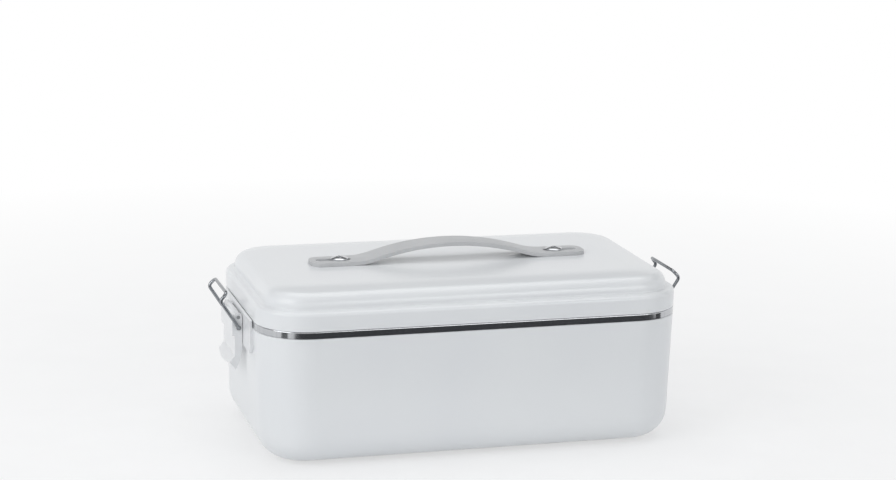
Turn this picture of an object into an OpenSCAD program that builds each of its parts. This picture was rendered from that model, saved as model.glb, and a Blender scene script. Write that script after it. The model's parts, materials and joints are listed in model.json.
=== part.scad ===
// Electric lunch box. The origin is on the table under the middle of the body,
// X runs along its length, -Y is its front and Z points up. Sizes are in millimetres.

/* [Body] */
// Length over the two short sides, at the rim
body_l = 240; // [216:2:264]
// Width over the two long sides, at the rim
body_w = 137; // [125:1:150]
// Height of the steel rim above the table
rim_z = 77.5; // [74:0.5:90]
// Plan radius of the upright corners
corner_r = 28; // [25:0.5:31]
// How far each wall leans in from the rim to the table
wall_lean = 2.2; // [1:0.1:3]
// Radius of the edge where the walls turn under
base_edge_r = 16; // [11:0.5:17]
// Wall of the outer shell
shell_wall = 2.4; // [2.1:0.1:2.7]
// Height of the rubber feet under the shell
foot_h = 1.2; // [0.8:0.1:2]
// Diameter of a rubber foot
foot_d = 11; // [8:0.5:14]

/* [Food container] */
// Width of the steel ledge between mouth and rim
rim_ledge = 5; // [4.5:0.1:6]
// Height of the steel band that turns down over the shell
rim_band = 3.9; // [3:0.1:6]
// Thickness of the steel
steel_t = 0.8; // [0.6:0.1:1]
// Depth of the container from the rim to its underside
pan_depth = 46.5; // [40:0.5:47]
// How far the container's walls lean in over its depth
pan_lean = 1.5; // [0.5:0.1:2.5]
// Radius of the container's bottom edge
pan_edge_r = 12; // [8:0.5:14]

/* [Well and heating] */
// Wall of the moulded well
well_wall = 1.2; // [1:0.1:1.4]
// Free gap between the container and the well
pan_gap = 0.6; // [0.4:0.1:0.8]
// Length of the heating plate
plate_l = 176; // [150:2:184]
// Width of the heating plate
plate_w = 88; // [76:2:92]
// Thickness of the heating plate's edge
plate_t = 2; // [1.5:0.1:3]
// Thickness of the gasket under the plate's edge
gasket_t = 0.5; // [0.3:0.1:1]
// Length of the heating block
heater_l = 60; // [45:1:75]
// Width of the heating block
heater_w = 30; // [22:1:36]
// Thickness of the heating block
heater_t = 5; // [4:0.5:6.5]

/* [Outer lid] */
// Height of the upright band round the lid
band_h = 10; // [9:0.5:14]
// Width of the ledge that the bails hook over
lid_ledge = 5; // [4:0.25:6]
// Rise of the domed top above the ledge
dome_h = 10.5; // [10:0.1:15]
// Radius at which the domed top's wall turns over
dome_r = 7; // [6:0.1:8]
// Radius of the long curve from there to the flat of the top
crown_r = 60; // [50:1:62]
// Wall of the outer lid
lid_wall = 2; // [1.6:0.1:2.3]

/* [Inner lid] */
// Free gap between the inner lid's flange and the outer lid's band
flange_gap = 0.8; // [0.5:0.1:1.2]
// Wall of the inner lid
clear_wall = 1.5; // [1.2:0.1:1.8]
// Depth of the skirt that enters the container
skirt_h = 6; // [4:0.5:8]
// Width of the silicone lip round the skirt
seal_w = 0.8; // [0.6:0.1:1]
// Length of the raised dome
clear_dome_l = 198; // [188:1:202]
// Width of the raised dome
clear_dome_w = 66; // [56:1:80]
// Height of the raised dome above the flange
clear_dome_h = 10; // [7:0.5:11]
// Plan radius of the raised dome's corners
clear_dome_r = 16; // [10:1:20]
// Length across the lid of the two end bosses
boss_w = 20; // [14:1:26]
// Height of the end bosses above the flange
boss_h = 6.5; // [4:0.5:7.5]

/* [Handle] */
// Length of the strap
strap_l = 161; // [153:2:169]
// Width of the strap
strap_w = 17; // [14:0.5:22]
// Thickness of the strap
strap_t = 2.2; // [1.8:0.1:2.8]
// Length of each flat end that lies on the lid
strap_flat = 29.5; // [27.5:0.5:32]
// Rise of the strap's underside above the lid, at the middle
strap_rise = 8.8; // [8:0.1:13]
// Length of the slots in the strap
slot_l = 20; // [16:0.5:22]
// Diameter of the screws' shoulders, which the slots pass
shoulder_d = 4.4; // [4:0.1:5]
// Diameter of the screw heads
screw_head_d = 9.6; // [8:0.1:11]

/* [Latches] */
// Width of a latch lever
lever_w = 34; // [30:1:40]
// Wall of a latch lever
lever_wall = 1.5; // [1.3:0.1:1.8]
// Depth of a latch lever, from its open back to its face
lever_depth = 4.1; // [4:0.1:5]
// Length of a latch lever below its hinge pin
lever_l = 29.5; // [26:0.5:32]
// How far the lever's head stands proud of its face
lever_proud = 1.5; // [1:0.1:1.8]
// How far the lever's tail bends out from its face
tail_flare = 2.8; // [1.5:0.1:3.5]
// Diameter of the hinge pins
pin_d = 2; // [1.6:0.1:2.2]
// Distance from the hinge pin down to the bail's axis
throw = 6; // [5.6:0.1:6.4]
// Diameter of the bail wire
wire_d = 1.9; // [1.6:0.1:2]
// Length of a bail's legs
bail_leg = 19.3; // [19.3:0.1:20]
// Length of a bail's hooked end
bail_hook = 5.4; // [5:0.1:6]
// Angle between a bail's legs and its hooked end
hook_angle = 75; // [70:1:78]
// Angle at which an open bail leans out from upright
bail_lean = 33; // [25:1:38]
// Width of a latch bracket
bracket_w = 76; // [50:1:78]
// Thickness of a latch bracket
bracket_t = 1.3; // [1:0.1:1.5]

/* [Power inlet] */
// Width of the inlet housing
inlet_w = 26; // [24:1:34]
// Height of the inlet housing
inlet_h = 14; // [12:0.5:16]
// Distance between the two contact pins
pin_pitch = 8.6; // [8:0.1:9]
// Diameter of the contact pins
contact_d = 2.4; // [2:0.1:2.6]
// Depth of the socket round the pins
socket_depth = 11; // [9:0.5:13]

/* [Hidden] */
$fn = 64;

// Clearances
seat_gap = 0.3;      // between faces of pieces that come apart
plate_fit = 0.25;    // round the base plate
run_fit = 0.05;      // radial, round a turning pin, tube or wire
over = 1;            // how far a cut runs past what it cuts

// Plan: half lengths of the rectangle through the corner centres
span_x = body_l / 2 - corner_r;
span_y = body_w / 2 - corner_r;

// A cup is [reach out from the corner centres at the rim, rim height, floor height, lean, edge radius]
body_cup = [corner_r, rim_z, foot_h, atan(wall_lean / rim_z), base_edge_r];
pan_z = rim_z - pan_depth;
pan_slope = atan(pan_lean / pan_depth);
mouth_u = corner_r - rim_ledge;
pan_cup = [mouth_u, rim_z, pan_z, pan_slope, pan_edge_r];
well_floor = pan_z - plate_t - gasket_t;
well_cup = [mouth_u + pan_gap, rim_z, well_floor, pan_slope, pan_edge_r];

function slope(cup) = cup[3];
function edge_z(cup) = cup[2] + cup[4];
function edge_u(cup) =
    cup[0] - (cup[4] + (cup[1] - edge_z(cup)) * sin(slope(cup))) / cos(slope(cup));
function cup_u(cup, z, inset = 0) =
    cup[0] - (cup[1] - z) * tan(slope(cup)) - inset / cos(slope(cup));

// Rim: the steel hem hangs outside a step in the shell, the well's lip lies on the shell
hem_u = corner_r - steel_t;
step_u = hem_u - seat_gap;
step_z = rim_z - rim_band - seat_gap;
lip_t = 1.2;
lip_top = rim_z - steel_t - seat_gap;
shell_top = lip_top - lip_t;

// Base
base_t = 2;
base_open_u = 7;
base_ledge_w = 3.8;
base_ledge_t = 1.8;
base_top = foot_h + base_t;
pillar_d = 7;
pillar_x = span_x - pillar_d / 2 - 0.5;
pillar_y = span_y + base_open_u - base_ledge_w - pillar_d / 2 - 0.2;
base_screw_d = 2.6;
base_head_d = 5.6;
foot_pocket = 0.8;
foot_x = span_x - 14;
foot_y = span_y - 6;
foot_bevel = 0.5;
foot_taper = 1.5;
frame_x = foot_x - 15;        // half length of the base plate's stiffening frame
frame_y = foot_y - 8;
frame_r = 6;
frame_t = 1.5;
frame_h = 1.2;
screw_bite = 9;               // of a base screw in its pillar
screw_play = 0.6;             // a clearance hole's diameter over its screw's
head_play = 0.4;
head_sink = 0.2;
slot_t = 0.6;

// Heating plate
plate_r = 14;
plate_lip = 8;
plate_boss_t = 3.5;
boss_gap = 0.5;
plate_under = pan_z - plate_t - plate_boss_t + gasket_t;
clamp_w = 18;
clamp_t = 1;
clamp_foot = 9;
clamp_gap = 0.2;
clamp_y = heater_w / 2 + clamp_gap;
clamp_screw_y = clamp_y + clamp_t + clamp_foot / 2;
m3_d = 3;
m3_head_d = 5.5;
m3_head_h = 1.6;
thermostat_d = 16;
thermostat_h = 6;
thermostat_x = heater_l / 2 + thermostat_d / 2 + 10;
fuse_d = 4;
fuse_l = 13;
fuse_x = -heater_l / 2 - fuse_l / 2 - 12;
lead_d = 1.8;        // of the insulated leads
lead_in = 0.6;       // from a terminal's tip to the centre of the lead's round end
heater_tab = 4;
stat_tab = 4.5;
stat_tab_y = 5;
fuse_leg = 3;
pin_tail = 4.5;

// Power inlet, in the back wall
inlet_z = foot_h + base_edge_r + 2.3;
inlet_y = span_y + cup_u(body_cup, inlet_z + inlet_h / 2) - 0.6;
inlet_back = inlet_y - socket_depth - 4;
socket_r = 4.4;
lens_d = 5;
lens_x = inlet_w / 2 + 11;
lens_collar_d = 7;
lens_collar_t = 1.5;
lens_seat = span_y + cup_u(body_cup, inlet_z - lens_collar_d / 2, shell_wall);

// Outer lid
lid_top_band = rim_z + band_h;
dome_u = corner_r - lid_ledge;
lid_top = lid_top_band + dome_h;
band_edge_r = 2;
ledge_fillet = 1.5;
crown_a = 13;                        // angle that the long curve turns
turn_u = dome_u - dome_r;
turn_z = lid_top - crown_r + (crown_r - dome_r) * cos(crown_a);
crown_u = turn_u - (crown_r - dome_r) * sin(crown_a);

// Inner lid
flange_t = 2.4;
flange_u = corner_r - lid_wall - flange_gap;
flange_top = rim_z + flange_t;
seal_u = mouth_u - steel_t - seat_gap - 0.2;
skirt_u = seal_u - seal_w;
seal_h = skirt_h - 2;
dome_sx = clear_dome_l / 2 - clear_dome_r;
dome_sy = clear_dome_w / 2 - clear_dome_r;
clear_dome_top = flange_top + clear_dome_h;
clear_edge_r = 3;
boss_l = 9;

// Handle
strap_top = lid_top + strap_t;
arch_half = strap_l / 2 - strap_flat;
arch_r = (arch_half * arch_half + strap_rise * strap_rise) / (2 * strap_rise);
arch_z = lid_top + strap_rise - arch_r;
strap_end_r = 6;
slot_w = shoulder_d + 0.4;
slot_end = 3.7;
slot_x = strap_l / 2 - slot_end - slot_l / 2;
screw_from_slot = 6.6;
handle_screw_x = slot_x - slot_l / 2 + screw_from_slot;
head_h = 1.7;
washer_t = 0.6;
washer_d = 7.5;
bore_play = 0.3;
head_rim = 0.6;
nut_t = 2.2;
nut_af = 5.5;

// Latches, drawn on the right and mirrored to the left
body_x = body_l / 2;
bracket_x = body_x + seat_gap + bracket_t;
lever_back = bracket_x + seat_gap;
lever_face = lever_back + lever_depth;
knuckle_r = lever_depth / 2;
hinge_x = lever_back + knuckle_r;
hinge_z = rim_z - knuckle_r - 1.4;
bail_x = hinge_x - 0.2;
bail_z = hinge_z - throw;
tube_d = wire_d + 2 * run_fit + 0.7;
barrel_y = lever_w / 2 - 5.3;      // half length of the lever's barrel
knuckle_w = 3;
knuckle_y = barrel_y + seat_gap + knuckle_w / 2;
bail_y = lever_w / 2 + wire_d / 2 + seat_gap;
bail_stub = 8;
lever_step = hinge_z - 10.3;        // the head's lower edge
head_round = 2.5;
head_rise = 0.5;                    // of the head over the hinge pin
tail_z = hinge_z - lever_l;
tail_bow = 1.5;                     // how much lower the face's tail is at its middle
bend_z = tail_z + 7.5;              // where the tail bends out
tip_z = tail_z + 4;                 // its outer corner
bend_r = 3;
rivet_y = 9;
rivet_z = hinge_z - 11.5;
rivet_d = 2.4;
rivet_head_d = 4.6;
rivet_head_h = 0.9;
rivet_tail_h = 0.4;
bracket_foot = rivet_z - 5;
bracket_r = 7;
bracket_top_r = 1;

white = [0.93, 0.93, 0.92];
steel = [0.72, 0.73, 0.75];
chrome = [0.80, 0.81, 0.83];
clear = [0.70, 0.76, 0.84, 0.45];
strap_grey = [0.76, 0.76, 0.75];
dark = [0.16, 0.16, 0.17];
silicone = [0.88, 0.89, 0.90];

// ---------------------------------------------------------------- shared shapes

// Carries a section round the plan. Its x is the reach out from the corner centres, its y the height.
module around(sx = span_x, sy = span_y) {
    for (mx = [0, 1], my = [0, 1])
        mirror([mx, 0, 0])
            mirror([0, my, 0])
                translate([sx, sy, 0])
                    rotate_extrude(angle = 90)
                        children();
    for (m = [0, 1]) {
        mirror([m, 0, 0])
            translate([sx, sy, 0])
                rotate([90, 0, 0])
                    linear_extrude(2 * sy)
                        children();
        mirror([0, m, 0])
            translate([-sx, sy, 0])
                rotate([90, 0, 90])
                    linear_extrude(2 * sx)
                        children();
    }
}

// Fills the plan inside the corner centres, which a carried section leaves open
module core(z0, z1, sx = span_x, sy = span_y) {
    translate([-sx, -sy, z0])
        cube([2 * sx, 2 * sy, z1 - z0]);
}

// Rounded rectangle that reaches u out from the corner centres
module plan(u, sx = span_x, sy = span_y) {
    square([2 * sx, 2 * (sy + u)], center = true);
    square([2 * (sx + u), 2 * sy], center = true);
    for (x = [-sx, sx], y = [-sy, sy])
        translate([x, y])
            circle(u);
}

// Upright plate on such a rectangle
module slab(u, z0, z1, sx = span_x, sy = span_y) {
    translate([0, 0, z0])
        linear_extrude(z1 - z0)
            plan(u, sx, sy);
}

// Rounded rectangle by its outside size
module pad(l, w, r, z0, z1) {
    slab(r, z0, z1, l / 2 - r, w / 2 - r);
}

// Section of a cup, drawn inset within its outer surface, from the corner centres to a height
module cup_section(cup, inset, top) {
    r = cup[4] - inset;
    translate([edge_u(cup), edge_z(cup)])
        intersection() {
            circle(r);
            translate([0, -r])
                square(r);
        }
    polygon([
        [0, cup[2] + inset],
        [edge_u(cup), cup[2] + inset],
        [edge_u(cup), edge_z(cup)],
        [edge_u(cup) + r * cos(slope(cup)), edge_z(cup) - r * sin(slope(cup))],
        [cup_u(cup, top, inset), top],
        [0, top]
    ]);
}

// Rectangle from one corner to another
module block(x0, y0, x1, y1) {
    translate([x0, y0])
        square([x1 - x0, y1 - y0]);
}

// Rectangle whose upper right corner is round
module shoulder(x0, y0, x1, y1, r) {
    block(x0, y0, x1 - r, y1);
    block(x0, y0, x1, y1 - r);
    translate([x1 - r, y1 - r])
        circle(r);
}

// Copies on both sides of the middle, along X and along Y
module both_x(x) {
    for (s = [-1, 1])
        translate([s * x, 0, 0])
            children();
}

module at_corners(x, y) {
    for (sx = [-1, 1], sy = [-1, 1])
        translate([sx * x, sy * y, 0])
            children();
}

// Rod between two heights, and a rod along Y
module rod(d, z0, z1) {
    translate([0, 0, z0])
        cylinder(d = d, h = z1 - z0);
}

module cross_rod(d, y0, y1) {
    translate([0, y1, 0])
        rotate([90, 0, 0])
            cylinder(d = d, h = y1 - y0);
}

// Rod along X
module long_rod(d, x0, x1) {
    translate([x0, 0, 0])
        rotate([0, 90, 0])
            cylinder(d = d, h = x1 - x0);
}

// Draws the right latch's pieces on the left
module left_side() {
    mirror([1, 0, 0])
        children();
}

// ---------------------------------------------------------------- body

module outer_shell() {
    color(white)
        difference() {
            around()
                difference() {
                    union() {
                        difference() {
                            cup_section(body_cup, 0, shell_top);
                            cup_section(body_cup, shell_wall, rim_z);
                        }
                        block(base_open_u - base_ledge_w, base_top,
                              base_open_u + over, base_top + base_ledge_t);
                    }
                    block(-over, foot_h - over, base_open_u, base_top);
                    block(-over, foot_h - over, base_open_u - base_ledge_w, base_top + base_ledge_t);
                    block(step_u, step_z, corner_r + over, rim_z);
                }
            inlet_cut();
            translate([lens_x, inlet_y, inlet_z])
                cross_rod(lens_d + 0.1, -shell_wall - 3 * over, 3 * over);
            rivet_places()
                long_rod(rivet_d, -shell_wall - 3 * over, 3 * over);
        }
}

// Opening in the back wall that the inlet housing fills
module inlet_cut() {
    translate([-inlet_w / 2, inlet_back - over, inlet_z - inlet_h / 2])
        cube([inlet_w, inlet_y - inlet_back + 4 * over, inlet_h]);
}

module base_plate() {
    color(white)
        difference() {
            union() {
                slab(base_open_u - plate_fit, foot_h, base_top);
                pad(2 * frame_x, 2 * frame_y, frame_r, base_top, base_top + frame_h);
            }
            pad(2 * (frame_x - frame_t), 2 * (frame_y - frame_t), frame_r - frame_t,
                base_top, base_top + frame_h + over);
            at_corners(pillar_x, pillar_y) {
                rod(base_screw_d + screw_play, foot_h - over, base_top + over);
                rod(base_head_d + head_play, foot_h - over, foot_h + base_t / 2);
            }
            at_corners(foot_x, foot_y)
                rod(foot_d + 0.2, foot_h - over, foot_h + foot_pocket);
        }
}

module base_screws() {
    color(steel)
        at_corners(pillar_x, pillar_y)
            difference() {
                union() {
                    rod(base_head_d, foot_h + head_sink, foot_h + base_t / 2);
                    rod(base_screw_d, foot_h + base_t / 2, base_top + screw_bite);
                }
                for (a = [0, 90])
                    rotate(a)
                        translate([-base_head_d * 0.3, -slot_t / 2, foot_h])
                            cube([base_head_d * 0.6, slot_t, head_sink + base_t / 4]);
            }
}

module rubber_feet() {
    color(dark)
        at_corners(foot_x, foot_y)
            difference() {
                rod(foot_d, 0, foot_h + foot_pocket);
                translate([0, 0, -0.001])
                    difference() {
                        rod(foot_d + 2, 0, foot_bevel);
                        translate([0, 0, -over])
                            cylinder(d1 = foot_d - 2 * foot_taper, d2 = foot_d + 0.001, h = foot_bevel + over);
                    }
            }
}

module inner_well() {
    color([0.90, 0.90, 0.89])
        difference() {
            union() {
                around()
                    union() {
                        difference() {
                            cup_section(well_cup, -well_wall, lip_top);
                            cup_section(well_cup, 0, rim_z);
                        }
                        block(cup_u(well_cup, lip_top, -well_wall / 2), shell_top, step_u, lip_top);
                    }
                core(well_floor - well_wall, well_floor);
                at_corners(pillar_x, pillar_y)
                    rod(pillar_d, base_top, well_floor - well_wall / 2);
            }
            pad(plate_l - 2 * plate_lip, plate_w - 2 * plate_lip, plate_r - plate_lip,
                well_floor - well_wall - over, well_floor + over);
            at_corners(pillar_x, pillar_y)
                rod(base_screw_d, base_top - over, base_top + screw_bite + over);
        }
}

// ---------------------------------------------------------------- heating

module heating_plate() {
    color([0.80, 0.80, 0.81])
        difference() {
            union() {
                pad(plate_l, plate_w, plate_r, pan_z - plate_t, pan_z);
                pad(plate_l - 2 * (plate_lip + boss_gap), plate_w - 2 * (plate_lip + boss_gap),
                    plate_r - plate_lip - boss_gap, plate_under, pan_z - plate_t / 2);
            }
            for (s = [-1, 1])
                translate([0, s * clamp_screw_y, 0])
                    rod(m3_d, plate_under - over, plate_under + 3);
        }
}

module plate_seal() {
    color(silicone)
        difference() {
            pad(plate_l - 1, plate_w - 1, plate_r - 0.5, well_floor, pan_z - plate_t);
            pad(plate_l - 2 * plate_lip, plate_w - 2 * plate_lip, plate_r - plate_lip,
                well_floor - over, pan_z);
        }
}

module ptc_heater() {
    color([0.85, 0.85, 0.86])
        difference() {
            pad(heater_l, heater_w, 1.5, plate_under - heater_t, plate_under);
            for (i = [-3:3])
                translate([i * heater_l / 8, 0, plate_under - heater_t])
                    cube([2.5, heater_w - 6, 1.2], center = true);
        }
    color("tan")
        both_x(heater_l / 2 + heater_tab / 2)
            translate([0, 0, plate_under - heater_t / 2])
                cube([heater_tab, 5, 0.8], center = true);
}

module heater_clamp() {
    color(steel)
        difference() {
            translate([-clamp_w / 2, 0, 0])
                rotate([90, 0, 90])
                    linear_extrude(clamp_w)
                        difference() {
                            union() {
                                block(-clamp_y - clamp_t, plate_under - heater_t - clamp_t,
                                      clamp_y + clamp_t, plate_under);
                                block(-clamp_screw_y - clamp_foot / 2, plate_under - clamp_t,
                                      clamp_screw_y + clamp_foot / 2, plate_under);
                            }
                            block(-clamp_y, plate_under - heater_t, clamp_y, plate_under + over);
                        }
            for (s = [-1, 1])
                translate([0, s * clamp_screw_y, 0])
                    rod(m3_d + 0.4, plate_under - 2 * clamp_t, plate_under + over);
        }
}

module clamp_screws() {
    color(steel)
        for (s = [-1, 1])
            translate([0, s * clamp_screw_y, 0]) {
                rod(m3_head_d, plate_under - clamp_t - m3_head_h, plate_under - clamp_t);
                rod(m3_d, plate_under - clamp_t - m3_head_h / 2, plate_under + 2.6);
            }
}

module thermostat() {
    color(dark)
        translate([thermostat_x, 0, 0]) {
            rod(thermostat_d, plate_under - 1.6, plate_under);
            rod(thermostat_d - 2, plate_under - thermostat_h, plate_under - 1);
            for (s = [-1, 1])
                translate([0, s * stat_tab_y, plate_under - thermostat_h - stat_tab / 2])
                    cube([4.8, 0.8, stat_tab + 0.6], center = true);
        }
}

module thermal_fuse() {
    color(steel)
        translate([fuse_x, 0, plate_under - fuse_d / 2]) {
            long_rod(fuse_d, -fuse_l / 2, fuse_l / 2);
            long_rod(1, -fuse_l / 2 - fuse_leg, fuse_l / 2 + fuse_leg);
        }
}

// Round lead through a row of points
module lead(points, d) {
    for (i = [0 : len(points) - 2])
        hull()
            for (p = [points[i], points[i + 1]])
                translate(p)
                    sphere(d = d, $fn = 8);
}

module wiring() {
    low = plate_under - thermostat_h - 6;
    fuse_in = [fuse_x - fuse_l / 2 - fuse_leg - lead_in, 0, plate_under - fuse_d / 2];
    fuse_out = [fuse_x + fuse_l / 2 + fuse_leg + lead_in, 0, plate_under - fuse_d / 2];
    heater_in = [-heater_l / 2 - heater_tab - lead_in, 0, plate_under - heater_t / 2];
    heater_out = [heater_l / 2 + heater_tab + lead_in, 0, plate_under - heater_t / 2];
    stat_in = [thermostat_x, stat_tab_y, plate_under - thermostat_h - stat_tab - 0.3 - lead_in];
    stat_out = [thermostat_x, -stat_tab_y, plate_under - thermostat_h - stat_tab - 0.3 - lead_in];
    inlet_left = [-pin_pitch / 2, inlet_back - pin_tail - lead_in, inlet_z];
    inlet_right = [pin_pitch / 2, inlet_back - pin_tail - lead_in, inlet_z];
    color("firebrick")
        lead([inlet_left, [-pin_pitch / 2, inlet_back - 12, low], [fuse_x - 10, 20, low],
              [fuse_x - 16, 6, low + 3], fuse_in], lead_d);
    color("firebrick")
        lead([fuse_out, [heater_in[0] - 1.4, 0, low + 3], heater_in], lead_d);
    color("ivory")
        lead([inlet_right, [pin_pitch / 2, inlet_back - 12, low], [thermostat_x - 6, 20, low],
              [thermostat_x, 10, low], stat_in], lead_d);
    color("ivory")
        lead([stat_out, [thermostat_x - 8, -8, low + 1], [heater_out[0] + 3, -3, low + 3], heater_out], lead_d);
}

module power_inlet() {
    color(dark)
        difference() {
            translate([-inlet_w / 2, inlet_back, inlet_z - inlet_h / 2])
                cube([inlet_w, inlet_y - inlet_back, inlet_h]);
            translate([0, 0, inlet_z]) {
                both_x(pin_pitch / 2)
                    cross_rod(2 * socket_r, inlet_y - socket_depth, inlet_y + over);
                translate([-pin_pitch / 2, inlet_y - socket_depth, -socket_r + 0.9])
                    cube([pin_pitch, socket_depth + over, 2 * socket_r - 1.8]);
                both_x(pin_pitch / 2)
                    cross_rod(contact_d, inlet_back - over, inlet_y);
            }
        }
}

module inlet_pins() {
    color(steel)
        translate([0, 0, inlet_z])
            both_x(pin_pitch / 2) {
                cross_rod(contact_d, inlet_back - pin_tail, inlet_y - 2.5);
                translate([0, inlet_y - 2.5, 0])
                    sphere(d = contact_d);
            }
}

module indicator_lens() {
    color("tomato")
        translate([lens_x, lens_seat, inlet_z]) {
            cross_rod(lens_d, -lens_collar_t, shell_wall + 0.3);
            cross_rod(lens_collar_d, -lens_collar_t, 0);
        }
}

// ---------------------------------------------------------------- latches

// Both rivets of both brackets, on the shell's leaning side face
module rivet_places() {
    for (m = [0, 1], y = [-rivet_y, rivet_y])
        mirror([m, 0, 0])
            translate([span_x + cup_u(body_cup, rivet_z), y, rivet_z])
                children();
}

module latch_bracket() {
    color(white)
        difference() {
            union() {
                intersection() {
                    translate([body_x - over * 3, 0, 0])
                        rotate([90, 0, 90])
                            linear_extrude(bracket_x - body_x + over * 3)
                                bracket_outline();
                    translate([0, bracket_w, 0])
                        rotate([90, 0, 0])
                            linear_extrude(2 * bracket_w)
                                bracket_section();
                }
                for (s = [-1, 1])
                    translate([hinge_x, s * knuckle_y, hinge_z])
                        knuckle();
            }
            translate([hinge_x, 0, hinge_z])
                cross_rod(pin_d, -lever_w, lever_w);
            for (y = [-rivet_y, rivet_y])
                translate([body_x, y, rivet_z])
                    long_rod(rivet_d, -5, 5);
        }
}

// Front view of a bracket: Y across, Z up
module bracket_outline() {
    r = bracket_r;
    foot = bracket_foot;
    top_r = bracket_top_r;
    block(-bracket_w / 2 + r, foot, bracket_w / 2 - r, rim_z);
    block(-bracket_w / 2, foot + r, bracket_w / 2, rim_z - top_r);
    block(-bracket_w / 2 + top_r, foot + r, bracket_w / 2 - top_r, rim_z);
    for (s = [-1, 1]) {
        translate([s * (bracket_w / 2 - r), foot + r])
            circle(r);
        translate([s * (bracket_w / 2 - top_r), rim_z - top_r])
            circle(top_r);
    }
}

// Side view of a bracket: its back lies on the leaning wall and stands clear of the steel hem
module bracket_section() {
    foot = bracket_foot;
    hem = step_z - 0.2;
    polygon([
        [span_x + cup_u(body_cup, foot), foot],
        [bracket_x - bracket_t / 2, foot],
        [bracket_x, foot + bracket_t],
        [bracket_x, rim_z - bracket_t / 2],
        [bracket_x - bracket_t / 2, rim_z],
        [body_x + seat_gap, rim_z],
        [body_x + seat_gap, hem],
        [span_x + cup_u(body_cup, hem), hem]
    ]);
}

// Hinge eye, joined to the bracket behind it
module knuckle() {
    cross_rod(2 * knuckle_r, -knuckle_w / 2, knuckle_w / 2);
    translate([-knuckle_r - seat_gap - 0.2, -knuckle_w / 2, -knuckle_r])
        cube([knuckle_r + seat_gap + 0.2, knuckle_w, 1.5 * knuckle_r]);
}

module bracket_rivets() {
    stand = bracket_x - span_x - cup_u(body_cup, rivet_z);
    color(steel)
        rivet_places()
            union() {
                long_rod(rivet_d, -shell_wall - rivet_tail_h, stand + rivet_head_h / 2);
                long_rod(rivet_head_d, stand, stand + rivet_head_h);
                long_rod(rivet_head_d, -shell_wall - rivet_tail_h, -shell_wall - 0.02);
            }
}

module lever_pins() {
    color(steel)
        for (m = [0, 1])
            mirror([m, 0, 0])
                translate([hinge_x, 0, hinge_z])
                    cross_rod(pin_d, -lever_w / 2 + 0.2, lever_w / 2 - 0.2);
}

// Front view of a lever's face: Y across, Z up, bowed at the tail
module lever_outline() {
    half = lever_w / 2;
    bow_r = (half * half + tail_bow * tail_bow) / (2 * tail_bow);
    intersection() {
        block(-half, tip_z - 2 * tail_bow, half, hinge_z + over);
        translate([0, tip_z - tail_bow + bow_r])
            circle(bow_r, $fn = 360);
    }
}

// Side view of the lever's head, which stands proud of its face
module head_section(t) {
    back = hinge_x - (t > 0 ? over : 0);
    front = lever_face + lever_proud - t;
    top = hinge_z + head_rise - t;
    intersection() {
        shoulder(back - over, lever_step + t, front, top, head_round - t);
        block(back, lever_step - over, front + over, top + over);
    }
}

// Side view of a lever's face: down from the head, then bent out from the body
module lever_face_section() {
    drop = (bend_z - tip_z) / tail_flare;
    out = tail_flare * 1.45;
    side = lever_wall / norm([1, drop]);
    difference() {
        head_section(0);
        head_section(lever_wall);
    }
    block(lever_face - lever_wall, bend_z, lever_face, lever_step + lever_wall);
    polygon([
        [lever_face - lever_wall, bend_z + over],
        [lever_face, bend_z],
        [lever_face + out, bend_z - drop * out],
        [lever_face + out - side * drop, bend_z - drop * out - side],
        [lever_face - lever_wall, bend_z - lever_wall / 3]
    ]);
}

// Side view of a lever's cheeks, without their holes
module cheek_section() {
    translate([hinge_x, hinge_z])
        circle(knuckle_r);
    head_section(0);
    polygon([
        [lever_back, hinge_z],
        [lever_back, tail_z + 11],
        [lever_back + 0.8, tail_z + 6],
        [lever_face - 0.65, tail_z],
        [lever_face + tail_flare, tip_z],
        [lever_face, bend_z],
        [lever_face, hinge_z]
    ]);
}

module lever() {
    half = lever_w / 2;
    color(white)
        difference() {
            union() {
                intersection() {
                    translate([0, lever_w, 0])
                        rotate([90, 0, 0])
                            linear_extrude(2 * lever_w)
                                lever_face_section();
                    translate([lever_back - over, 0, 0])
                        rotate([90, 0, 90])
                            linear_extrude(lever_depth + 2 * tail_flare + 3 * over)
                                lever_outline();
                }
                translate([hinge_x, 0, hinge_z])
                    cross_rod(2 * knuckle_r, -barrel_y, barrel_y);
                for (s = [-1, 1])
                    translate([0, s * (half - lever_wall / 2) + lever_wall / 2, 0])
                        rotate([90, 0, 0])
                            linear_extrude(lever_wall)
                                cheek_section();
            }
            for (m = [0, 1])
                mirror([0, m, 0])
                    translate([hinge_x, 0, hinge_z])
                        cross_rod(2 * (knuckle_r + seat_gap), barrel_y, half - lever_wall);
            translate([hinge_x, 0, hinge_z])
                cross_rod(pin_d + 2 * run_fit, -lever_w, lever_w);
            translate([bail_x, 0, bail_z])
                cross_rod(tube_d + 2 * run_fit, -lever_w, lever_w);
        }
}

module bail_tube() {
    color(steel)
        translate([bail_x, 0, bail_z])
            difference() {
                cross_rod(tube_d, -lever_w / 2 + 0.1, lever_w / 2 - 0.1);
                cross_rod(wire_d + 2 * run_fit, -lever_w, lever_w);
            }
}

// Wire bail: two ends in the cross tube, two legs, two hooked ends and a bar.
// It is drawn leaning out, as it stands when it is open.
module bail() {
    color(chrome)
        translate([bail_x, 0, bail_z])
            rotate([0, bail_lean, 0])
                for (m = [0, 1])
                    mirror([0, m, 0])
                        bail_half();
}

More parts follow.
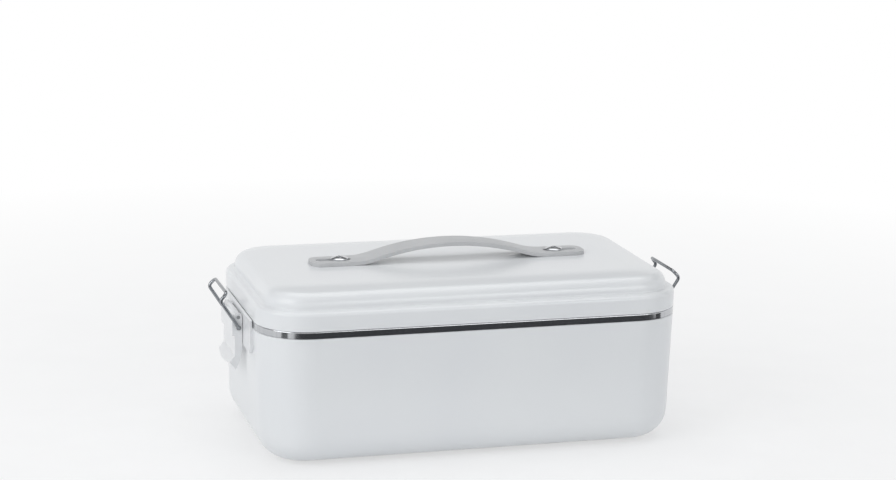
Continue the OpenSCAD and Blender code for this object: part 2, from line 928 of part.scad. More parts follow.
// From the end in the cross tube, up one leg and along half of the bar
module bail_half() {
    translate([0, bail_y, 0]) {
        cross_rod(wire_d, -bail_stub, 0);
        sphere(d = wire_d);
        rod(wire_d, 0, bail_leg);
        translate([0, 0, bail_leg])
            rotate([0, -hook_angle, 0]) {
                sphere(d = wire_d);
                rod(wire_d, 0, bail_hook - bend_r);
                translate([0, -bend_r, bail_hook - bend_r])
                    rotate([90, 0, 90])
                        rotate_extrude(angle = 90)
                            translate([bend_r, 0])
                                circle(d = wire_d);
                translate([0, 0, bail_hook])
                    cross_rod(wire_d, -bail_y, -bend_r);
            }
    }
}

// ---------------------------------------------------------------- food container

module food_container() {
    color(steel) {
        around() {
            difference() {
                cup_section(pan_cup, 0, rim_z - steel_t / 2);
                cup_section(pan_cup, steel_t, rim_z + over);
            }
            block(mouth_u - steel_t, rim_z - steel_t, corner_r - steel_t, rim_z);
            intersection() {
                shoulder(hem_u - over, rim_z - rim_band, corner_r, rim_z, steel_t);
                block(hem_u, rim_z - rim_band, corner_r + over, rim_z);
            }
        }
        core(pan_z, pan_z + steel_t);
    }
}

// ---------------------------------------------------------------- inner lid

module inner_lid() {
    color(clear) {
        difference() {
            slab(flange_u, rim_z, flange_top);
            slab(clear_dome_r - clear_wall, rim_z - over, flange_top + over, dome_sx, dome_sy);
            both_x(clear_dome_l / 2 + boss_l / 2)
                translate([0, 0, rim_z])
                    cube([boss_l - 2 * clear_wall, boss_w - 2 * clear_wall, 3 * flange_t], center = true);
        }
        around()
            block(skirt_u - clear_wall, rim_z - skirt_h, skirt_u, rim_z + flange_t / 2);
        around()
            block(skirt_u - clear_wall / 2, rim_z - skirt_h, skirt_u + 0.4, rim_z - seal_h - 0.3);
        around(dome_sx, dome_sy)
            difference() {
                union() {
                    shoulder(0, rim_z + flange_t / 2, clear_dome_r, clear_dome_top, clear_edge_r);
                    difference() {
                        block(clear_dome_r - over, flange_top - 0.2, clear_dome_r + clear_wall,
                              flange_top + clear_wall);
                        translate([clear_dome_r + clear_wall, flange_top + clear_wall])
                            circle(clear_wall);
                    }
                }
                shoulder(-over, rim_z - over, clear_dome_r - clear_wall,
                         clear_dome_top - clear_wall, clear_edge_r - clear_wall);
            }
        core(clear_dome_top - clear_wall, clear_dome_top, dome_sx, dome_sy);
        both_x(clear_dome_l / 2 + boss_l / 2)
            end_boss();
    }
}

// Hollow raised boss at the end of the dome
module end_boss() {
    difference() {
        pad(boss_l, boss_w, 2, flange_top - 0.2, flange_top + boss_h);
        pad(boss_l - 2 * clear_wall, boss_w - 2 * clear_wall, 0.8,
            rim_z - over, flange_top + boss_h - clear_wall);
    }
}

module lid_seal() {
    color(silicone)
        around()
            union() {
                block(skirt_u, rim_z - seal_h, skirt_u + seal_w * 0.6, rim_z - 0.4);
                for (i = [0, 1])
                    translate([skirt_u, rim_z - seal_h + 1 + i * 1.7])
                        block(0, -0.4, seal_w, 0.4);
            }
}

// ---------------------------------------------------------------- outer lid

// Section of the lid's outside, and of its hollow: the dome's wall turns over in a small curve,
// and a long curve runs on to the flat of the top
module lid_section(t) {
    shoulder(0, rim_z - (t > 0 ? over : 0), corner_r - t, lid_top_band - t, max(band_edge_r - t, 0.3));
    block(0, rim_z, dome_u - t, turn_z);
    block(0, rim_z, crown_u, lid_top - t);
    translate([turn_u, turn_z])
        circle(dome_r - t);
    intersection() {
        translate([crown_u, lid_top - crown_r])
            circle(crown_r - t, $fn = 360);
        block(crown_u, rim_z, turn_u + dome_r * sin(crown_a), lid_top);
    }
}

module outer_lid() {
    color(white)
        difference() {
            union() {
                around()
                    difference() {
                        union() {
                            lid_section(0);
                            difference() {
                                block(dome_u - over, lid_top_band - over,
                                      dome_u + ledge_fillet, lid_top_band + ledge_fillet);
                                translate([dome_u + ledge_fillet, lid_top_band + ledge_fillet])
                                    circle(ledge_fillet);
                            }
                        }
                        lid_section(lid_wall);
                    }
                core(lid_top - lid_wall, lid_top);
            }
            both_x(handle_screw_x)
                rod(m3_d + bore_play, lid_top - lid_wall - over, lid_top + over);
        }
}

// ---------------------------------------------------------------- handle

// Side view of the strap: flat ends and one long arch
module strap_section() {
    difference() {
        union() {
            intersection() {
                translate([0, arch_z])
                    circle(arch_r + strap_t, $fn = 360);
                block(-arch_half, lid_top, arch_half, lid_top + strap_rise + 2 * strap_t);
            }
            for (s = [-1, 1])
                translate([s * (strap_l - strap_flat) / 2, lid_top + strap_t / 2])
                    square([strap_flat + 0.01, strap_t], center = true);
        }
        translate([0, arch_z])
            circle(arch_r, $fn = 360);
    }
}

module handle_strap() {
    color(strap_grey)
        difference() {
            intersection() {
                translate([0, strap_w / 2, 0])
                    rotate([90, 0, 0])
                        linear_extrude(strap_w)
                            strap_section();
                pad(strap_l, strap_w, strap_end_r, lid_top - over, lid_top + strap_rise + 2 * strap_t);
            }
            both_x(slot_x)
                pad(slot_l, slot_w, slot_w / 2 - 0.01, lid_top - over, strap_top + over);
        }
}

module handle_screws() {
    color(chrome)
        both_x(handle_screw_x)
            difference() {
                union() {
                    rod(shoulder_d, lid_top, strap_top + 0.2);
                    rod(m3_d, lid_top - lid_wall - washer_t - nut_t - 0.2, lid_top + over);
                    translate([0, 0, strap_top + 0.1])
                        screw_head();
                }
                for (a = [0, 90])
                    rotate(a)
                        translate([-2, -0.45, strap_top + head_h - 0.7])
                            cube([4, 0.9, 2]);
            }
}

// Low domed head
module screw_head() {
    crown = (pow(screw_head_d / 2, 2) + pow(head_h - head_rim, 2)) / (2 * (head_h - head_rim));
    cylinder(d = screw_head_d, h = head_rim);
    intersection() {
        translate([0, 0, head_h - crown])
            sphere(crown);
        cylinder(d = screw_head_d, h = head_h);
    }
}

module handle_washers() {
    color(steel)
        both_x(handle_screw_x)
            difference() {
                rod(washer_d, lid_top - lid_wall - washer_t, lid_top - lid_wall);
                rod(m3_d + bore_play, lid_top - lid_wall - 2 * over, lid_top);
            }
}

module handle_nuts() {
    under = lid_top - lid_wall - washer_t;
    color(steel)
        both_x(handle_screw_x)
            difference() {
                translate([0, 0, under - nut_t])
                    cylinder(d = nut_af / cos(30), h = nut_t, $fn = 6);
                rod(m3_d, under - nut_t - over, under + over);
            }
}

outer_shell();
base_plate();
base_screws();
rubber_feet();
inner_well();
heating_plate();
plate_seal();
ptc_heater();
heater_clamp();
clamp_screws();
thermostat();
thermal_fuse();
wiring();
power_inlet();
inlet_pins();
indicator_lens();
left_side() latch_bracket();  // left_latch_bracket
latch_bracket();  // right_latch_bracket
bracket_rivets();
lever_pins();
left_side() lever();  // left_lever
lever();  // right_lever
left_side() bail_tube();  // left_bail_tube
bail_tube();  // right_bail_tube
left_side() bail();  // left_bail
bail();  // right_bail
food_container();
inner_lid();
lid_seal();
outer_lid();
handle_strap();
handle_screws();
handle_washers();
handle_nuts();
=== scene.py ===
"""Electric lunch box: white body with a steel pan, clear inner lid, domed outer lid with a strap handle,
and a wire-bail latch on each short side. Sizes are in metres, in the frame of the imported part."""

import json
import math

import bpy
import bmesh
from mathutils import Matrix, Vector


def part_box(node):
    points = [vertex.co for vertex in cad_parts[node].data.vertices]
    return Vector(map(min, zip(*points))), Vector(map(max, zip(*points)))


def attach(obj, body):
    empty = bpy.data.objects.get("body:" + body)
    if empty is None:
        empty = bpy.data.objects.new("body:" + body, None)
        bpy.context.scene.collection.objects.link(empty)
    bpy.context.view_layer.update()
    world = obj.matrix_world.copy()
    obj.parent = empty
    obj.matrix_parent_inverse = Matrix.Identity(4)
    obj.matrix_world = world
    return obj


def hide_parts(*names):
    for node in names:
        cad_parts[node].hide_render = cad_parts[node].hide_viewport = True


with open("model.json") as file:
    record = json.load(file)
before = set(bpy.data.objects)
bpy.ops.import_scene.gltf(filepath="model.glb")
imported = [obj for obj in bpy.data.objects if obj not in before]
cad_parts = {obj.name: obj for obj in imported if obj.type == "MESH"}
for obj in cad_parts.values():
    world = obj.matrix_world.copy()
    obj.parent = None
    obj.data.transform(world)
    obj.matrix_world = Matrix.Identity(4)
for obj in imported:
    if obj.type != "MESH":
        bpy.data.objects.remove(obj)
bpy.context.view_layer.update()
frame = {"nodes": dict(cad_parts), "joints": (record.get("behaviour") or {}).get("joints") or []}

MM = 0.001
MERGE = 0.02 * MM                   # points nearer than this are one, where halves meet
MOST = (0.3, 0.7)                   # nearly all of a noise lies between these values
CLOUDY = (0.35, 0.65)               # the same, a little tighter, for clouds with clearer edges


# ---------------------------------------------------------------- materials

def hex_linear(code):
    """sRGB hex such as "E9EBEC" to a linear colour."""
    rgb = []
    for i in (0, 2, 4):
        c = int(code[i:i + 2], 16) / 255
        rgb.append(c / 12.92 if c <= 0.04045 else ((c + 0.055) / 1.055) ** 2.4)
    return (*rgb, 1.0)


def add(owner, kind, inputs=(), links=(), **settings):
    """Adds a node to a material or world: inputs are {socket: value}, links are {socket: its source}."""
    node = owner.node_tree.nodes.new(kind)
    for key, value in settings.items():
        setattr(node, key, value)
    for key, value in dict(inputs).items():
        node.inputs[key].default_value = value
    for key, source in dict(links).items():
        owner.node_tree.links.new(source, node.inputs[key])
    return node


def material(name):
    """A new material, its surface shader, and the place on the piece that its patterns read."""
    mat = bpy.data.materials.new(name)
    mat.use_nodes = True
    return mat, mat.node_tree.nodes["Principled BSDF"], add(mat, "ShaderNodeTexCoord").outputs["Object"]


def dress(mat, shader, plain, tint, dull=None, relief=None):
    """Finishes a surface. plain is {socket: value}. tint is a pattern, the span of it that counts, and the
    colours at both ends; dull is a pattern, its span and the roughness at both ends; relief is a pattern,
    how strongly it shows and how deep it is."""
    for socket, value in plain.items():
        shader.inputs[socket].default_value = value
    pattern, span, *codes = tint
    colours = add(mat, "ShaderNodeValToRGB", links={"Fac": pattern})
    for stop, place, code in zip(colours.color_ramp.elements, span, codes):
        stop.position, stop.color = place, hex_linear(code)
    mat.node_tree.links.new(colours.outputs["Color"], shader.inputs["Base Color"])
    if dull:
        pattern, span, least, most = dull
        rough = add(mat, "ShaderNodeMapRange",
                    {"From Min": span[0], "From Max": span[1], "To Min": least, "To Max": most},
                    {"Value": pattern})
        mat.node_tree.links.new(rough.outputs["Result"], shader.inputs["Roughness"])
    if relief:
        pattern, strength, depth = relief
        bumps = add(mat, "ShaderNodeBump", {"Strength": strength, "Distance": depth}, {"Height": pattern})
        mat.node_tree.links.new(bumps.outputs["Normal"], shader.inputs["Normal"])
    return mat


def moulded_abs(name, dark, light, rough, peel):
    """Injection moulded white ABS with a satin surface, painted on body and lid and bare on the latches: a
    soft sheen with blurred highlights. Its slight orange peel is drawn 4 mm across: real peel is nearer
    1 mm, which is too fine to show."""
    mat, shader, place = material(name)
    cloud = add(mat, "ShaderNodeTexNoise", {"Scale": 1 / (55.56 * MM), "Detail": 1},
                {"Vector": place}).outputs["Fac"]
    orange_peel = add(mat, "ShaderNodeTexNoise", {"Scale": 1 / (4 * MM), "Detail": 1},
                      {"Vector": place}).outputs["Fac"]
    return dress(mat, shader, {"IOR": 1.52, "Coat Weight": 0.3, "Coat Roughness": 0.16},
                 tint=(cloud, MOST, dark, light), dull=(cloud, MOST, rough - 0.02, rough + 0.02),
                 relief=(orange_peel, peel, 0.1 * MM))


def drawn_steel(name, dark, light, least, most, along):
    """Stainless sheet, drawn and buffed: long soft reflections. The buffing lines run 40 mm along one axis
    and are drawn 1.7 mm apart: real ones are about 0.1 mm apart, which is too fine to show."""
    mat, shader, place = material(name)
    across, run = 1 / (1.6667 * MM), 1 / (40 * MM)
    stretch = {"y": (across, run, across), "z": (across, across, run)}[along]
    stretched = add(mat, "ShaderNodeMapping", {"Scale": stretch}, {"Vector": place}).outputs["Vector"]
    lines = add(mat, "ShaderNodeTexNoise", {"Scale": 1, "Detail": 1}, {"Vector": stretched}).outputs["Fac"]
    haze = add(mat, "ShaderNodeTexNoise", {"Scale": 1 / (33.33 * MM)}, {"Vector": place}).outputs["Fac"]
    return dress(mat, shader, {"Metallic": 1}, tint=(lines, MOST, dark, light),
                 dull=(haze, MOST, least, most), relief=(lines, 0.03, 0.03 * MM))


def plated_wire(name, dark, light):
    """Chromed spring wire: near mirror, so it shows thin light and dark streaks. Its colour is darker than
    bright chrome:
    this is painted shade for the dark surroundings it reflects. It has a slight haze, 4 mm across, and draw
    marks 0.6 mm apart."""
    mat, shader, place = material(name)
    haze = add(mat, "ShaderNodeTexNoise", {"Scale": 1 / (3.846 * MM), "Detail": 3},
               {"Vector": place}).outputs["Fac"]
    marks = add(mat, "ShaderNodeTexNoise", {"Scale": 1 / (0.5556 * MM), "Detail": 1},
                {"Vector": place}).outputs["Fac"]
    return dress(mat, shader, {"Metallic": 1}, tint=(haze, MOST, dark, light),
                 dull=(haze, MOST, 0.07, 0.16), relief=(marks, 0.03, 0.03 * MM))


def clear_san(name, dark, light):
    """Clear SAN, injection moulded: glassy, with a cool cast where it is thick, moulding waves 25 mm across
    and faint hair scratches, 25 mm long and 0.5 mm apart."""
    mat, shader, place = material(name)
    waves = add(mat, "ShaderNodeTexNoise", {"Scale": 1 / (25 * MM), "Detail": 3},
                {"Vector": place}).outputs["Fac"]
    stretch = (1 / (25 * MM), 1 / (0.4545 * MM), 1 / (1.25 * MM))
    stretched = add(mat, "ShaderNodeMapping", {"Scale": stretch, "Rotation": (0.2, 0.1, 0.5)},
                    {"Vector": place}).outputs["Vector"]
    scratches = add(mat, "ShaderNodeTexNoise", {"Scale": 1}, {"Vector": stretched}).outputs["Fac"]
    return dress(mat, shader, {"IOR": 1.57, "Transmission Weight": 0.93}, tint=(waves, MOST, dark, light),
                 dull=(scratches, (0.4, 0.8), 0.02, 0.09), relief=(waves, 0.05, 0.4 * MM))


def soft_rubber(name, dark, light, rough, grain):
    """Moulded silicone or soft rubber: dull, with an even grain, its size in mm, and clouds 14 mm across."""
    mat, shader, place = material(name)
    even_grain = add(mat, "ShaderNodeTexNoise", {"Scale": 1 / (grain * MM), "Detail": 3, "Roughness": 0.6},
                     {"Vector": place}).outputs["Fac"]
    cloud = add(mat, "ShaderNodeTexNoise", {"Scale": 1 / (14.29 * MM), "Detail": 3},
                {"Vector": place}).outputs["Fac"]
    return dress(mat, shader, {"IOR": 1.43}, tint=(cloud, CLOUDY, dark, light),
                 dull=(even_grain, MOST, rough - 0.06, rough + 0.06), relief=(even_grain, 0.12, 0.1 * MM))


def engineering_plastic(name, dark, light, rough):
    """Moulded PP or PA66 from a spark-eroded mould: matt, with a grain of 0.5 mm and clouds 18 mm across."""
    mat, shader, place = material(name)
    grain = add(mat, "ShaderNodeTexVoronoi", {"Scale": 1 / (0.5263 * MM)},
                {"Vector": place}).outputs["Distance"]
    cloud = add(mat, "ShaderNodeTexNoise", {"Scale": 1 / (18.18 * MM), "Detail": 3},
                {"Vector": place}).outputs["Fac"]
    return dress(mat, shader, {"IOR": 1.5}, tint=(cloud, CLOUDY, dark, light),
                 dull=(cloud, MOST, rough - 0.05, rough + 0.05), relief=(grain, 0.12, 0.15 * MM))


def bare_aluminium(mat, shader, lines):
    """Bare aluminium with tool marks: each line is a little brighter and smoother on its crest."""
    return dress(mat, shader, {"Metallic": 1}, tint=(lines, (0.2, 0.8), "BFC1C4", "D8DADC"),
                 dull=(lines, (0, 1), 0.28, 0.42), relief=(lines, 0.12, 0.08 * MM))


def turned_aluminium(name):
    """Aluminium plate turned on a lathe: rings 0.8 mm apart round its middle, which draw each highlight out
    to a fan. A wave goes through 20 radians in one unit of its scale."""
    mat, shader, place = material(name)
    rings = add(mat, "ShaderNodeTexWave", {"Scale": 2 * math.pi / 20 / (0.7896 * MM), "Distortion": 0.4},
                {"Vector": place}, wave_type="RINGS", rings_direction="Z").outputs["Fac"]
    return bare_aluminium(mat, shader, rings)


def extruded_aluminium(name):
    """Extruded aluminium case: straight die lines along it, 20 mm long and 0.5 mm apart."""
    mat, shader, place = material(name)
    stretch = (1 / (20 * MM), 1 / (0.5 * MM), 1 / (0.5 * MM))
    stretched = add(mat, "ShaderNodeMapping", {"Scale": stretch}, {"Vector": place}).outputs["Vector"]
    lines = add(mat, "ShaderNodeTexNoise", {"Scale": 1}, {"Vector": stretched}).outputs["Fac"]
    return bare_aluminium(mat, shader, lines)


def bright_metal(name, dark, light, least, most):
    """Small turned or pressed parts with bright zinc, chrome or brass: crisp highlights, and a haze 2.4 mm
    across that breaks them up."""
    mat, shader, place = material(name)
    haze = add(mat, "ShaderNodeTexNoise", {"Scale": 1 / (2.381 * MM), "Detail": 4, "Roughness": 0.6},
               {"Vector": place}).outputs["Fac"]
    return dress(mat, shader, {"Metallic": 1}, tint=(haze, MOST, dark, light),
                 dull=(haze, MOST, least, most), relief=(haze, 0.05, 0.05 * MM))


def tinted_lens(name, dark, light):
    """Amber-red polycarbonate lens: it glows where light gets in, with a diffusing grain of 1.1 mm."""
    mat, shader, place = material(name)
    grain = add(mat, "ShaderNodeTexNoise", {"Scale": 1 / (1.111 * MM), "Detail": 3},
                {"Vector": place}).outputs["Fac"]
    return dress(mat, shader, {"IOR": 1.58, "Transmission Weight": 0.45}, tint=(grain, MOST, dark, light),
                 dull=(grain, (0, 1), 0.12, 0.3), relief=(grain, 0.1, 0.1 * MM))


BODY_ABS = moulded_abs("painted_abs_white", "E9EBED", "ECEEEF", 0.30, 0.06)
LATCH_ABS = moulded_abs("moulded_abs_white", "EBECED", "EEEFF0", 0.34, 0.1)
WELL_PP = engineering_plastic("matt_pp_off_white", "DEDEDB", "E6E6E3", 0.55)
PAN_STEEL = drawn_steel("buffed_stainless_pan", "BBBDC0", "C4C6C9", 0.09, 0.14, "z")
SHEET_STEEL = drawn_steel("brushed_stainless_sheet", "9FA1A3", "B4B6B8", 0.24, 0.36, "y")
# Wire colours are darker than real chrome: painted shade for the dark surroundings it reflects.
CHROME = plated_wire("chromed_spring_wire", "85888C", "A3A6AA")
CLEAR = clear_san("clear_moulded_san", "D3D9E3", "DDE2EA")
STRAP_TPE = soft_rubber("grey_tpe_strap", "C3C4C5", "C9CACB", 0.44, 0.6)
SILICONE = soft_rubber("white_silicone", "D8DADC", "E2E4E6", 0.45, 0.9)
FOOT_RUBBER = soft_rubber("grey_foot_rubber", "4A4B4F", "55565A", 0.62, 0.7)
LEAD_JACKET = soft_rubber("red_silicone_lead", "8E2C20", "A8382A", 0.4, 1.0)
BLACK_PA = engineering_plastic("black_pa66", "141416", "1C1C1E", 0.42)
PLATE_AL = turned_aluminium("turned_aluminium_plate")
HEATER_AL = extruded_aluminium("extruded_aluminium_case")
SCREW_STEEL = bright_metal("zinc_plated_steel", "B2B4B8", "C9CBCE", 0.2, 0.34)
HEAD_CHROME = bright_metal("chromed_screw_head", "C9CBCE", "DADCDF", 0.1, 0.2)
PIN_BRASS = bright_metal("bright_brass_pin", "C4AC70", "D9C38A", 0.18, 0.3)
LENS_PC = tinted_lens("amber_pc_lens", "C8401E", "E8562C")

FINISH = {
    BODY_ABS: ["outer_shell", "base_plate", "outer_lid"],
    LATCH_ABS: ["left_latch_bracket", "right_latch_bracket", "left_lever", "right_lever"],
    WELL_PP: ["inner_well"],
    PAN_STEEL: ["food_container"],
    SHEET_STEEL: ["heater_clamp", "thermal_fuse", "lever_pins", "left_bail_tube", "right_bail_tube",
                  "handle_washers", "handle_nuts"],
    CHROME: ["left_bail", "right_bail"],
    CLEAR: ["inner_lid"],
    STRAP_TPE: ["handle_strap"],
    SILICONE: ["lid_seal", "plate_seal"],
    FOOT_RUBBER: ["rubber_feet"],
    LEAD_JACKET: ["wiring"],
    BLACK_PA: ["thermostat", "power_inlet"],
    PLATE_AL: ["heating_plate"],
    HEATER_AL: ["ptc_heater"],
    SCREW_STEEL: ["base_screws", "clamp_screws", "bracket_rivets"],
    HEAD_CHROME: ["handle_screws"],
    PIN_BRASS: ["inlet_pins"],
    LENS_PC: ["indicator_lens"],
}


def finish_nodes():
    """Gives every CAD node its material."""
    for mat, names in FINISH.items():
        for name in names:
            mesh = frame["nodes"][name].data
            mesh.materials.clear()
            mesh.materials.append(mat)


finish_nodes()


# ---------------------------------------------------------------- modelling

def start(kind, name, **settings):
    """Adds a primitive with nothing else selected, fixes its place in its mesh, and opens it for editing."""
    if bpy.context.mode != "OBJECT":
        bpy.ops.object.mode_set(mode="OBJECT")
    bpy.ops.object.select_all(action="DESELECT")
    getattr(bpy.ops.mesh, f"primitive_{kind}_add")(**settings)
    ob = bpy.context.object
    ob.name = ob.data.name = name
    bpy.ops.object.transform_apply(location=True, rotation=True, scale=True)
    bpy.ops.object.mode_set(mode="EDIT")
    return ob


def only(ob):
    """Leaves edit mode with this piece alone selected and active."""
    if bpy.context.mode != "OBJECT":
        bpy.ops.object.mode_set(mode="OBJECT")
    bpy.ops.object.select_all(action="DESELECT")
    ob.select_set(True)
    bpy.context.view_layer.objects.active = ob


def pick(ob, kind, test):
    """Selects the faces, edges or vertices that pass a test, and nothing else."""
    bpy.ops.mesh.select_mode(type=kind)
    bpy.ops.mesh.select_all(action="DESELECT")
    bm = bmesh.from_edit_mesh(ob.data)
    for part in {"FACE": bm.faces, "EDGE": bm.edges, "VERT": bm.verts}[kind]:
        if test(part):
            part.select_set(True)
    bmesh.update_edit_mesh(ob.data)


def pull(x, y, z):
    """Extrudes what is selected."""
    bpy.ops.mesh.extrude_region_move(TRANSFORM_OT_translate={"value": (x, y, z)})


def sweep(angle, center, axis, steps):
    """Carries what is selected round an axis, by the right-hand rule."""
    bpy.ops.mesh.spin(steps=steps, angle=-math.radians(angle), center=center, axis=axis)


def apply(ob, kind, **settings):
    """Adds a modifier and applies it."""
    only(ob)
    step = ob.modifiers.new(kind.lower(), kind)
    for key, value in settings.items():
        setattr(step, key, value)
    bpy.ops.object.modifier_apply(modifier=step.name)


def move_to(ob, place=(0, 0, 0), turn=(0, 0, 0), scale=(1, 1, 1)):
    """Moves a finished mesh and fixes its new place in the mesh, with its faces outwards."""
    only(ob)
    ob.location, ob.rotation_euler, ob.scale = place, turn, scale
    bpy.ops.object.transform_apply(location=True, rotation=True, scale=True)
    bpy.ops.object.mode_set(mode="EDIT")
    bpy.ops.mesh.select_all(action="SELECT")
    bpy.ops.mesh.normals_make_consistent(inside=False)
    bpy.ops.object.mode_set(mode="OBJECT")


def copy_of(ob, name):
    """A copy of a piece, with its own mesh."""
    twin = ob.copy()
    twin.data = ob.data.copy()
    twin.name = twin.data.name = name
    bpy.context.scene.collection.objects.link(twin)
    return twin


def fit(ob, mat, body, node):
    """Smooths a finished piece, gives it its material and body, and hides the CAD node it stands in for."""
    only(ob)
    bpy.ops.object.shade_smooth_by_angle(angle=math.radians(38))
    ob.data.materials.clear()
    ob.data.materials.append(mat)
    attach(ob, body)
    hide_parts(node)


def make_bails():
    """Chromed wire bails: the ends lie in the lever's cross tube, the legs bend in over the hook's corner,
    and the bar's corners are wide. One half is drawn along the wire with the tube's axis at the origin."""
    swing = next(joint for joint in frame["joints"] if joint["name"] == "bail_right_swing")
    wire_r, lean = 0.95 * MM, 33
    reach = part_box("right_bail")[1].y - wire_r
    stub, leg, hook, hook_angle = 8 * MM, 19.3 * MM, 5.4 * MM, 75
    foot_r, hook_r, bar_r = 1.7 * MM, 2.2 * MM, 3 * MM
    angle = math.radians(hook_angle)
    tangent = hook_r * math.tan(angle / 2)
    along_hook = Vector((-math.sin(angle), 0, math.cos(angle)))
    across_hook = (math.cos(angle), 0, math.sin(angle))
    bail = start("circle", "right_bail_wire", vertices=20, radius=wire_r, fill_type="NOTHING",
                 location=(0, reach - stub, 0), rotation=(math.pi / 2, 0, 0))
    pull(0, stub - foot_r, 0)
    sweep(90, (0, reach - foot_r, foot_r), (1, 0, 0), 8)
    pull(0, 0, leg - tangent - foot_r)
    sweep(-hook_angle, (-hook_r, reach, leg - tangent), (0, 1, 0), 8)
    pull(*(along_hook * (hook - tangent - bar_r)))
    hook_end = Vector((0, reach, leg)) + along_hook * (hook - bar_r)
    sweep(90, hook_end - Vector((0, bar_r, 0)), across_hook, 10)
    pull(0, bar_r - reach, 0)
    apply(bail, "MIRROR", use_axis=(False, True, False), merge_threshold=MERGE)
    bpy.ops.object.mode_set(mode="EDIT")
    bpy.ops.mesh.select_all(action="SELECT")
    bpy.ops.mesh.fill_holes(sides=0)
    move_to(bail, swing["pos_m"], (0, math.radians(lean), 0))
    left = copy_of(bail, "left_bail_wire")
    move_to(left, scale=(-1, 1, 1))
    fit(bail, CHROME, "bail_right", "right_bail")
    fit(left, CHROME, "bail_left", "left_bail")


def make_strap():
    """Flexible strap: flat slotted ends, a soft rise off the lid and one long arch, all edges rounded. One
    half is drawn, from the flat end to the middle of the arch."""
    low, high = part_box("handle_strap")
    under, end, width, thick = low.z, high.x, high.y - low.y, 2.2 * MM
    rise, rise_x, lift_r = high.z - under - thick, 57 * MM, 45 * MM
    end_r, edge_r = 6 * MM, 0.5 * MM
    slot_end, slot_length, slot_r = 3.7 * MM, 20 * MM, 2.4 * MM
    turn = 2 * math.atan(rise / rise_x)
    arch_r = rise_x / math.sin(turn) - lift_r
    strap = start("cube", "carry_strap", size=1, location=((end + rise_x) / 2, 0, under + thick / 2),
                  scale=(end - rise_x, width, thick))
    pick(strap, "EDGE", lambda e: min(v.co.x for v in e.verts) > end - MM
         and abs(e.verts[0].co.z - e.verts[1].co.z) > thick / 2)
    bpy.ops.mesh.bevel(offset=end_r, segments=12, affect="EDGES")
    pick(strap, "FACE", lambda f: f.normal.x < -0.9)
    sweep(math.degrees(turn), (rise_x, 0, under + lift_r), (0, 1, 0), 10)
    sweep(-math.degrees(turn), (0, 0, under + rise - arch_r), (0, 1, 0), 24)
    bpy.ops.mesh.delete(type="FACE")
    slot_out = end - slot_end - slot_r
    slot_in = slot_out - slot_length + 2 * slot_r
    cutter = start("cylinder", "slot_cutter", vertices=32, radius=slot_r, depth=10 * MM,
                   location=(slot_in, 0, under), rotation=(0, 0, math.pi / 32))
    pick(cutter, "VERT", lambda v: v.co.x > slot_in)
    bpy.ops.transform.translate(value=(slot_out - slot_in, 0, 0))
    apply(strap, "BOOLEAN", object=cutter, operation="DIFFERENCE", solver="EXACT")
    bpy.data.objects.remove(cutter)
    apply(strap, "MIRROR", use_axis=(True, False, False), merge_threshold=MERGE)
    apply(strap, "BEVEL", width=edge_r, segments=3, limit_method="ANGLE", angle_limit=math.radians(50))
    move_to(strap)
    fit(strap, STRAP_TPE, "top_lid", "handle_strap")


def soften(names, width, angle=40):
    """Rounds the edges of CAD nodes as a mould or a press does: width in millimetres."""
    for name in names:
        ob = frame["nodes"][name]
        ob.modifiers.new("joined", "WELD").merge_threshold = MERGE / 10
        edges = ob.modifiers.new("rounded", "BEVEL")
        edges.width, edges.segments = width * MM, 2
        edges.limit_method, edges.angle_limit = "ANGLE", math.radians(angle)


make_bails()
make_strap()
soften(["left_lever", "right_lever"], 0.4)
soften(["left_latch_bracket", "right_latch_bracket"], 0.3)
soften(["handle_screws"], 0.15)
soften(["inner_lid"], 0.5, 50)


# ---------------------------------------------------------------- stage, light and camera

def seen_by(owner, *kinds):
    """A value that is 1 for rays of any of these kinds."""
    rays = add(owner, "ShaderNodeLightPath")
    value = rays.outputs[kinds[0]]
    for kind in kinds[1:]:
        either = add(owner, "ShaderNodeMath", links={0: value, 1: rays.outputs[kind]}, operation="MAXIMUM")
        value = either.outputs[0]
    return value


def make_floor():
    """Pale floor: it keeps the object's soft shadow, and fades to plain white 0.75 m away."""
    bpy.ops.object.select_all(action="DESELECT")
    bpy.ops.mesh.primitive_plane_add(size=16, location=(0, 0, -0.2 * MM))
    floor = bpy.context.object
    floor.name = "floor"
    mat, shader, place = material("pale_floor")
    speckle = add(mat, "ShaderNodeTexNoise", {"Scale": 1 / (33.33 * MM)}, {"Vector": place}).outputs["Fac"]
    dress(mat, shader, {"Roughness": 0.7, "Specular IOR Level": 0.2},
          tint=(speckle, MOST, "F4F5F6", "F8F9FA"))
    away = add(mat, "ShaderNodeVectorMath", links={0: place}, operation="LENGTH").outputs["Value"]
    fade = add(mat, "ShaderNodeMapRange", {"From Min": 0.1, "From Max": 0.75, "To Min": 0.55, "To Max": 1},
               {"Value": away}).outputs["Result"]
    seen = seen_by(mat, "Is Camera Ray", "Is Glossy Ray", "Is Transmission Ray")
    share = add(mat, "ShaderNodeMath", links={0: seen, 1: fade}, operation="MULTIPLY")
    glow = add(mat, "ShaderNodeEmission", {"Color": (1, 1, 1, 1), "Strength": 1})
    mix = add(mat, "ShaderNodeMixShader",
              links={0: share.outputs[0], 1: shader.outputs[0], 2: glow.outputs[0]})
    mat.node_tree.links.new(mix.outputs[0], mat.node_tree.nodes["Material Output"].inputs["Surface"])
    floor.data.materials.append(mat)


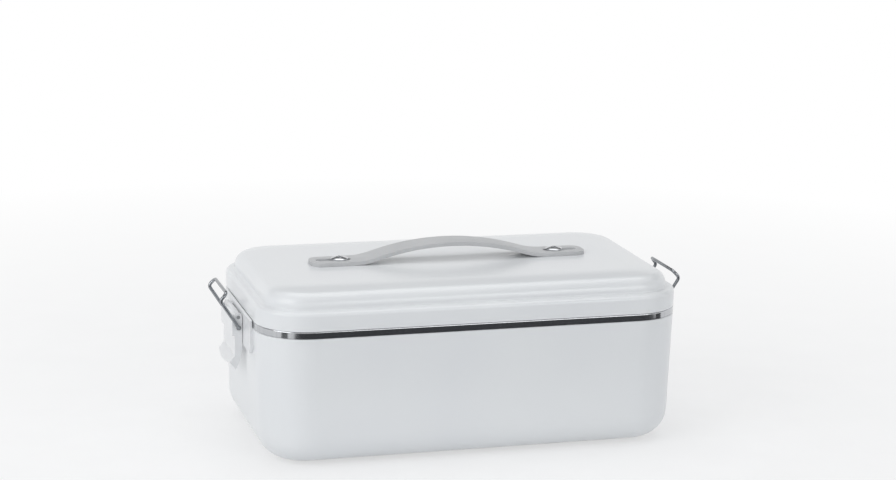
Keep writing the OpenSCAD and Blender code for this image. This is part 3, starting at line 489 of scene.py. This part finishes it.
def make_cards():
    """Dark cards on the floor that only reflections see. The wide one in front gives the polished rim its
    dark band, and the narrow ones at the corners give it a bar there."""
    mat, shader, _ = material("dark_card")
    shader.inputs["Base Color"].default_value = hex_linear("303236")
    shader.inputs["Roughness"].default_value = 0.9
    for name, place, size, turn in (("front_card", (0.045, -0.62), (0.60, 0.9), 0),
                                    ("left_corner_card", (-0.432, -0.274), (0.3, 0.075), 34),
                                    ("right_corner_card", (0.463, -0.219), (0.3, 0.085), -25)):
        bpy.ops.object.select_all(action="DESELECT")
        bpy.ops.mesh.primitive_plane_add(size=1, location=(*place, 2 * MM),
                                         rotation=(0, 0, math.radians(turn)))
        card = bpy.context.object
        card.name = name
        card.scale = (*size, 1)
        bpy.ops.object.transform_apply(location=True, rotation=True, scale=True)
        card.data.materials.append(mat)
        for kind in ("camera", "diffuse", "transmission", "volume_scatter", "shadow"):
            setattr(card, f"visible_{kind}", False)


def make_world():
    """Even pale surround, white where the camera or clear plastic looks past the object. Metal sees a
    white horizon, a darker strip over it and a soft grey top."""
    world = bpy.data.worlds.new("studio")
    bpy.context.scene.world = world
    world.use_nodes = True
    even = world.node_tree.nodes["Background"]
    even.inputs["Color"].default_value = (0.95, 0.97, 1.0, 1)
    even.inputs["Strength"].default_value = 0.42
    around = add(world, "ShaderNodeTexCoord").outputs["Generated"]
    height = add(world, "ShaderNodeSeparateXYZ", links={0: around}).outputs["Z"]
    strips = add(world, "ShaderNodeValToRGB", links={0: height})
    greys = [(0.36, 0.95), (0.46, 0.12), (0.62, 0.12), (0.74, 0.6), (1, 0.5)]
    while len(strips.color_ramp.elements) < len(greys):
        strips.color_ramp.elements.new(0.5)
    for stop, (place, grey) in zip(strips.color_ramp.elements, greys):
        stop.position, stop.color = place, (grey, grey, grey, 1)
    mirrored = add(world, "ShaderNodeBackground", links={"Color": strips.outputs[0]})
    white = add(world, "ShaderNodeBackground", {"Color": (1, 1, 1, 1)})
    in_metal = add(world, "ShaderNodeMixShader", links={0: seen_by(world, "Is Glossy Ray"),
                                                        1: even.outputs[0], 2: mirrored.outputs[0]})
    past = add(world, "ShaderNodeMixShader", links={0: seen_by(world, "Is Camera Ray", "Is Transmission Ray"),
                                                    1: in_metal.outputs[0], 2: white.outputs[0]})
    world.node_tree.links.new(past.outputs[0], world.node_tree.nodes["World Output"].inputs["Surface"])


def softbox(name, place, target, size, watts):
    """Rectangular area lamp aimed at a point."""
    lamp = bpy.data.lights.new(name, "AREA")
    lamp.shape = "RECTANGLE"
    lamp.size, lamp.size_y = size
    lamp.energy = watts
    ob = bpy.data.objects.new(name, lamp)
    bpy.context.scene.collection.objects.link(ob)
    ob.location = place
    ob.rotation_euler = (Vector(target) - Vector(place)).to_track_quat("-Z", "Y").to_euler()


def make_camera():
    """Camera at the photo's angle, from a fit to the edges of body and lids in its 896 x 480 frame. Its aim
    and distance are in lengths of the body."""
    length, frame_width, focal_px = 0.240, 896, 2191
    pitch, yaw, roll = 0.2189, 0.2812, 0.018
    aim = Vector((0.009, 0.034, 0.444)) * length
    away = 5.22 * length
    turn = (Matrix.Rotation(-yaw, 4, "Z") @ Matrix.Rotation(math.pi / 2 - pitch, 4, "X")
            @ Matrix.Rotation(roll, 4, "Z"))
    data = bpy.data.cameras.new("camera")
    data.sensor_width = 36
    data.lens = focal_px * data.sensor_width / frame_width
    data.clip_end = 50
    ob = bpy.data.objects.new("camera", data)
    bpy.context.scene.collection.objects.link(ob)
    ob.matrix_world = Matrix.Translation(aim) @ turn @ Matrix.Translation((0, 0, away))
    bpy.context.scene.camera = ob


make_floor()
make_cards()
make_world()
softbox("left_box", (-1.1, -0.5, 0.7), (0, 0, 0.06), (0.9, 0.9), 6)
softbox("top_box", (0.1, 0.2, 1.3), (0, 0, 0.05), (1.2, 0.9), 5)
softbox("front_fill", (0.7, -1.5, 0.5), (0, 0, 0.06), (0.9, 0.6), 4)
make_camera()
bpy.context.scene.view_settings.view_transform = "Standard"
